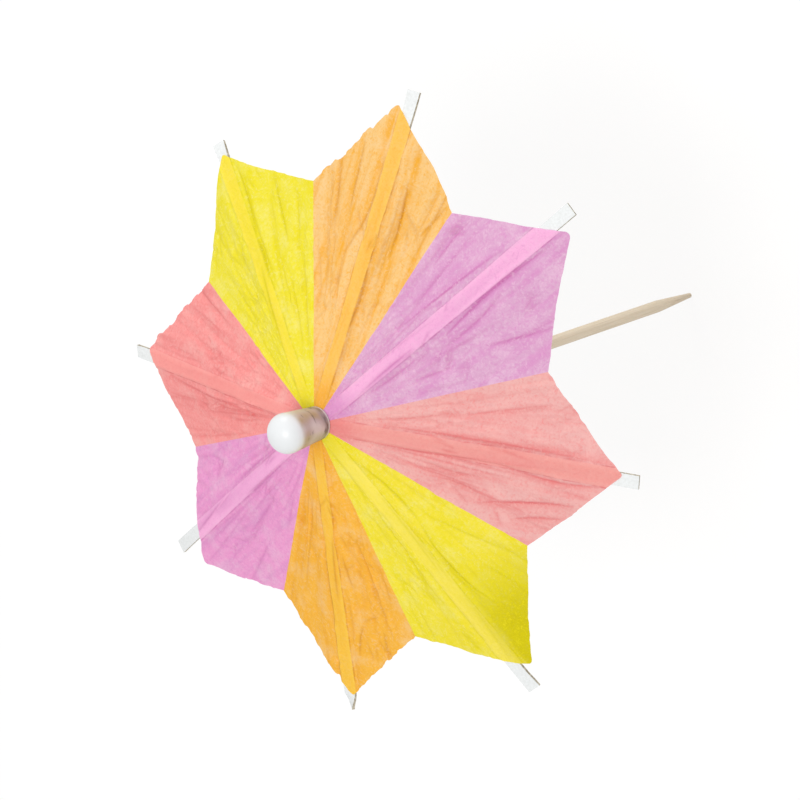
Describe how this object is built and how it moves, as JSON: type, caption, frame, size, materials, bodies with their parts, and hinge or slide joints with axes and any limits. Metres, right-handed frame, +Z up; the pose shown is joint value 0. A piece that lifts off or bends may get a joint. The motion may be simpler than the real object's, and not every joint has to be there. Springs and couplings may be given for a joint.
{
  "type": "cocktail umbrella pick",
  "caption": "Folding paper parasol on a wooden pick: card ribs and stretchers carry a star of tissue that opens as the runner slides up the stick.",
  "frame": {"origin": "tip of the pick, on the axis of the stick", "axes": "+Z up the stick to the cap, +X along the coral rib, rib_1"},
  "size_m": [0.0846, 0.0887, 0.1035],
  "materials": {
    "birch": "turned, unvarnished",
    "white_cap": "moulded, glossy",
    "clear_ring": "cut from soft tubing",
    "card": "white uncoated card",
    "newsprint": "rolled newsprint",
    "tissue_yellow": "dyed tissue paper",
    "tissue_orange": "dyed tissue paper",
    "tissue_violet": "dyed tissue paper",
    "tissue_coral": "dyed tissue paper"
  },
  "bodies": {
    "stick": {"pick": "birch", "finial_cap": "white_cap", "crown_collar": "card", "crown_roll": "newsprint"},
    "rib_1": {"rib_1": "card", "stretcher_tab_1": "card", "tissue_strip_1": "tissue_coral"},
    "stretcher_1": {"stretcher_1": "card"},
    "pleat_1_left": {"tissue_panel_1_left": "tissue_coral"},
    "pleat_1_right": {"tissue_panel_1_right": "tissue_coral"},
    "rib_2": {"rib_2": "card", "stretcher_tab_2": "card", "tissue_strip_2": "tissue_violet"},
    "stretcher_2": {"stretcher_2": "card"},
    "pleat_2_left": {"tissue_panel_2_left": "tissue_violet"},
    "pleat_2_right": {"tissue_panel_2_right": "tissue_violet"},
    "rib_3": {"rib_3": "card", "stretcher_tab_3": "card", "tissue_strip_3": "tissue_orange"},
    "stretcher_3": {"stretcher_3": "card"},
    "pleat_3_left": {"tissue_panel_3_left": "tissue_orange"},
    "pleat_3_right": {"tissue_panel_3_right": "tissue_orange"},
    "rib_4": {"rib_4": "card", "stretcher_tab_4": "card", "tissue_strip_4": "tissue_yellow"},
    "stretcher_4": {"stretcher_4": "card"},
    "pleat_4_left": {"tissue_panel_4_left": "tissue_yellow"},
    "pleat_4_right": {"tissue_panel_4_right": "tissue_yellow"},
    "rib_5": {"rib_5": "card", "stretcher_tab_5": "card", "tissue_strip_5": "tissue_coral"},
    "stretcher_5": {"stretcher_5": "card"},
    "pleat_5_left": {"tissue_panel_5_left": "tissue_coral"},
    "pleat_5_right": {"tissue_panel_5_right": "tissue_coral"},
    "rib_6": {"rib_6": "card", "stretcher_tab_6": "card", "tissue_strip_6": "tissue_violet"},
    "stretcher_6": {"stretcher_6": "card"},
    "pleat_6_left": {"tissue_panel_6_left": "tissue_violet"},
    "pleat_6_right": {"tissue_panel_6_right": "tissue_violet"},
    "rib_7": {"rib_7": "card", "stretcher_tab_7": "card", "tissue_strip_7": "tissue_orange"},
    "stretcher_7": {"stretcher_7": "card"},
    "pleat_7_left": {"tissue_panel_7_left": "tissue_orange"},
    "pleat_7_right": {"tissue_panel_7_right": "tissue_orange"},
    "rib_8": {"rib_8": "card", "stretcher_tab_8": "card", "tissue_strip_8": "tissue_yellow"},
    "stretcher_8": {"stretcher_8": "card"},
    "pleat_8_left": {"tissue_panel_8_left": "tissue_yellow"},
    "pleat_8_right": {"tissue_panel_8_right": "tissue_yellow"},
    "runner": {"runner_collar": "card", "runner_roll": "newsprint"},
    "ring": {"retaining_ring": "clear_ring"}
  },
  "joints": [
    {"name": "canopy_fold", "type": "hinge", "parent": "stick", "child": "rib_1", "pos_m": [0.0016, 0, 0.0947], "axis": [0, 1, 0], "range_deg": [0, 62.5]},
    {"name": "stretcher_1_fold", "type": "hinge", "parent": "rib_1", "child": "stretcher_1", "pos_m": [0.0197, 0, 0.08892], "axis": [0, 1, 0], "range_deg": [-125, 0]},
    {"name": "pleat_1_left_fold", "type": "hinge", "parent": "rib_1", "child": "pleat_1_left", "pos_m": [0.00169, 0.00057, 0.09499], "axis": [0.9588, 0.0098, -0.284], "range_deg": [0, 69.06]},
    {"name": "pleat_1_right_fold", "type": "hinge", "parent": "rib_1", "child": "pleat_1_right", "pos_m": [0.00169, -0.00057, 0.09499], "axis": [-0.9588, 0.0098, 0.284], "range_deg": [0, 69.06]},
    {"name": "rib_2_fold", "type": "hinge", "parent": "stick", "child": "rib_2", "pos_m": [0.00113, 0.00113, 0.0947], "axis": [-0.7071, 0.7071, 0], "range_deg": [0, 62.5]},
    {"name": "stretcher_2_fold", "type": "hinge", "parent": "rib_2", "child": "stretcher_2", "pos_m": [0.01299, 0.01487, 0.08892], "axis": [-0.7071, 0.7071, 0], "range_deg": [-125, 0]},
    {"name": "pleat_2_left_fold", "type": "hinge", "parent": "rib_2", "child": "pleat_2_left", "pos_m": [0.00076, 0.00157, 0.095], "axis": [0.6196, 0.7321, -0.2831], "range_deg": [0, 93.75]},
    {"name": "pleat_2_right_fold", "type": "hinge", "parent": "rib_2", "child": "pleat_2_right", "pos_m": [0.00162, 0.00082, 0.09498], "axis": [-0.6344, -0.7192, 0.2835], "range_deg": [0, 60.62]},
    {"name": "rib_3_fold", "type": "hinge", "parent": "stick", "child": "rib_3", "pos_m": [0, 0.0016, 0.0947], "axis": [-1, 0, 0], "range_deg": [0, 62.5]},
    {"name": "stretcher_3_fold", "type": "hinge", "parent": "rib_3", "child": "stretcher_3", "pos_m": [0.00133, 0.0197, 0.08892], "axis": [-1, 0, 0], "range_deg": [-125, 0]},
    {"name": "pleat_3_left_fold", "type": "hinge", "parent": "rib_3", "child": "pleat_3_left", "pos_m": [-0.00057, 0.00172, 0.09498], "axis": [0.0599, 0.9571, -0.2835], "range_deg": [0, 60.62]},
    {"name": "pleat_3_right_fold", "type": "hinge", "parent": "rib_3", "child": "pleat_3_right", "pos_m": [0.00057, 0.00165, 0.095], "axis": [-0.0796, -0.9558, 0.2831], "range_deg": [0, 96.25]},
    {"name": "rib_4_fold", "type": "hinge", "parent": "stick", "child": "rib_4", "pos_m": [-0.00113, 0.00113, 0.0947], "axis": [-0.7071, -0.7071, 0], "range_deg": [0, 62.5]},
    {"name": "stretcher_4_fold", "type": "hinge", "parent": "rib_4", "child": "stretcher_4", "pos_m": [-0.01358, 0.01428, 0.08892], "axis": [-0.7071, -0.7071, 0], "range_deg": [-125, 0]},
    {"name": "pleat_4_left_fold", "type": "hinge", "parent": "rib_4", "child": "pleat_4_left", "pos_m": [-0.0016, 0.0008, 0.09498], "axis": [-0.6663, 0.6895, -0.284], "range_deg": [0, 65.31]},
    {"name": "pleat_4_right_fold", "type": "hinge", "parent": "rib_4", "child": "pleat_4_right", "pos_m": [-0.00078, 0.00158, 0.09499], "axis": [0.6521, -0.703, 0.2838], "range_deg": [0, 76.25]},
    {"name": "rib_5_fold", "type": "hinge", "parent": "stick", "child": "rib_5", "pos_m": [-0.0016, 0, 0.0947], "axis": [0, -1, 0], "range_deg": [0, 62.5]},
    {"name": "stretcher_5_fold", "type": "hinge", "parent": "rib_5", "child": "stretcher_5", "pos_m": [-0.0197, -0.00103, 0.08892], "axis": [0, -1, 0], "range_deg": [-125, 0]},
    {"name": "pleat_5_left_fold", "type": "hinge", "parent": "rib_5", "child": "pleat_5_left", "pos_m": [-0.00166, -0.00057, 0.095], "axis": [-0.9569, -0.0639, -0.2834], "range_deg": [0, 88.75]},
    {"name": "pleat_5_right_fold", "type": "hinge", "parent": "rib_5", "child": "pleat_5_right", "pos_m": [-0.00171, 0.00057, 0.09498], "axis": [0.9579, 0.0443, 0.2837], "range_deg": [0, 61.88]},
    {"name": "rib_6_fold", "type": "hinge", "parent": "stick", "child": "rib_6", "pos_m": [-0.00113, -0.00113, 0.0947], "axis": [0.7071, -0.7071, 0], "range_deg": [0, 62.5]},
    {"name": "stretcher_6_fold", "type": "hinge", "parent": "rib_6", "child": "stretcher_6", "pos_m": [-0.01452, -0.01335, 0.08892], "axis": [0.7071, -0.7071, 0], "range_deg": [-125, 0]},
    {"name": "pleat_6_left_fold", "type": "hinge", "parent": "rib_6", "child": "pleat_6_left", "pos_m": [-0.00081, -0.00161, 0.09498], "axis": [-0.7015, -0.6537, -0.2839], "range_deg": [0, 63.12]},
    {"name": "pleat_6_right_fold", "type": "hinge", "parent": "rib_6", "child": "pleat_6_right", "pos_m": [-0.00158, -0.00077, 0.09499], "axis": [0.7148, 0.6392, 0.2836], "range_deg": [0, 81.25]},
    {"name": "rib_7_fold", "type": "hinge", "parent": "stick", "child": "rib_7", "pos_m": [0, -0.0016, 0.0947], "axis": [1, 0, 0], "range_deg": [0, 62.5]},
    {"name": "stretcher_7_fold", "type": "hinge", "parent": "rib_7", "child": "stretcher_7", "pos_m": [-0.00017, -0.0197, 0.08892], "axis": [1, 0, 0], "range_deg": [-125, 0]},
    {"name": "pleat_7_left_fold", "type": "hinge", "parent": "rib_7", "child": "pleat_7_left", "pos_m": [0.00057, -0.00169, 0.09499], "axis": [0.0011, -0.9588, -0.284], "range_deg": [0, 67.81]},
    {"name": "pleat_7_right_fold", "type": "hinge", "parent": "rib_7", "child": "pleat_7_right", "pos_m": [-0.00057, -0.00168, 0.09499], "axis": [0.0186, 0.9587, 0.284], "range_deg": [0, 73.12]},
    {"name": "rib_8_fold", "type": "hinge", "parent": "stick", "child": "rib_8", "pos_m": [0.00113, -0.00113, 0.0947], "axis": [0.7071, 0.7071, 0], "range_deg": [0, 62.5]},
    {"name": "stretcher_8_fold", "type": "hinge", "parent": "rib_8", "child": "stretcher_8", "pos_m": [0.01323, -0.01464, 0.08892], "axis": [0.7071, 0.7071, 0], "range_deg": [-125, 0]},
    {"name": "pleat_8_left_fold", "type": "hinge", "parent": "rib_8", "child": "pleat_8_left", "pos_m": [0.00161, -0.00081, 0.09498], "axis": [0.6473, -0.7074, -0.2838], "range_deg": [0, 61.88]},
    {"name": "pleat_8_right_fold", "type": "hinge", "parent": "rib_8", "child": "pleat_8_right", "pos_m": [0.00077, -0.00157, 0.095], "axis": [-0.6327, 0.7206, 0.2835], "range_deg": [0, 80.94]},
    {"name": "runner_crease_fold", "type": "hinge", "parent": "stretcher_1", "child": "runner", "pos_m": [0.0016, 0, 0.08314], "axis": [0, 1, 0], "range_deg": [0, 62.5]},
    {"name": "ring_slide", "type": "slide", "parent": "runner", "child": "ring", "axis": [0, 0, -1], "range_m": [0, 0.022]}
  ],
  "couplings": [
    {"joint": "stretcher_1_fold", "follows": "canopy_fold", "ratio": -2},
    {"joint": "pleat_1_left_fold", "follows": "canopy_fold", "ratio": 1.105},
    {"joint": "pleat_1_right_fold", "follows": "canopy_fold", "ratio": 1.105},
    {"joint": "rib_2_fold", "follows": "canopy_fold", "ratio": 1},
    {"joint": "stretcher_2_fold", "follows": "canopy_fold", "ratio": -2},
    {"joint": "pleat_2_left_fold", "follows": "canopy_fold", "ratio": 1.5},
    {"joint": "pleat_2_right_fold", "follows": "canopy_fold", "ratio": 0.97},
    {"joint": "rib_3_fold", "follows": "canopy_fold", "ratio": 1},
    {"joint": "stretcher_3_fold", "follows": "canopy_fold", "ratio": -2},
    {"joint": "pleat_3_left_fold", "follows": "canopy_fold", "ratio": 0.97},
    {"joint": "pleat_3_right_fold", "follows": "canopy_fold", "ratio": 1.54},
    {"joint": "rib_4_fold", "follows": "canopy_fold", "ratio": 1},
    {"joint": "stretcher_4_fold", "follows": "canopy_fold", "ratio": -2},
    {"joint": "pleat_4_left_fold", "follows": "canopy_fold", "ratio": 1.045},
    {"joint": "pleat_4_right_fold", "follows": "canopy_fold", "ratio": 1.22},
    {"joint": "rib_5_fold", "follows": "canopy_fold", "ratio": 1},
    {"joint": "stretcher_5_fold", "follows": "canopy_fold", "ratio": -2},
    {"joint": "pleat_5_left_fold", "follows": "canopy_fold", "ratio": 1.42},
    {"joint": "pleat_5_right_fold", "follows": "canopy_fold", "ratio": 0.99},
    {"joint": "rib_6_fold", "follows": "canopy_fold", "ratio": 1},
    {"joint": "stretcher_6_fold", "follows": "canopy_fold", "ratio": -2},
    {"joint": "pleat_6_left_fold", "follows": "canopy_fold", "ratio": 1.01},
    {"joint": "pleat_6_right_fold", "follows": "canopy_fold", "ratio": 1.3},
    {"joint": "rib_7_fold", "follows": "canopy_fold", "ratio": 1},
    {"joint": "stretcher_7_fold", "follows": "canopy_fold", "ratio": -2},
    {"joint": "pleat_7_left_fold", "follows": "canopy_fold", "ratio": 1.085},
    {"joint": "pleat_7_right_fold", "follows": "canopy_fold", "ratio": 1.17},
    {"joint": "rib_8_fold", "follows": "canopy_fold", "ratio": 1},
    {"joint": "stretcher_8_fold", "follows": "canopy_fold", "ratio": -2},
    {"joint": "pleat_8_left_fold", "follows": "canopy_fold", "ratio": 0.99},
    {"joint": "pleat_8_right_fold", "follows": "canopy_fold", "ratio": 1.295},
    {"joint": "runner_crease_fold", "follows": "canopy_fold", "ratio": 1}
  ]
}
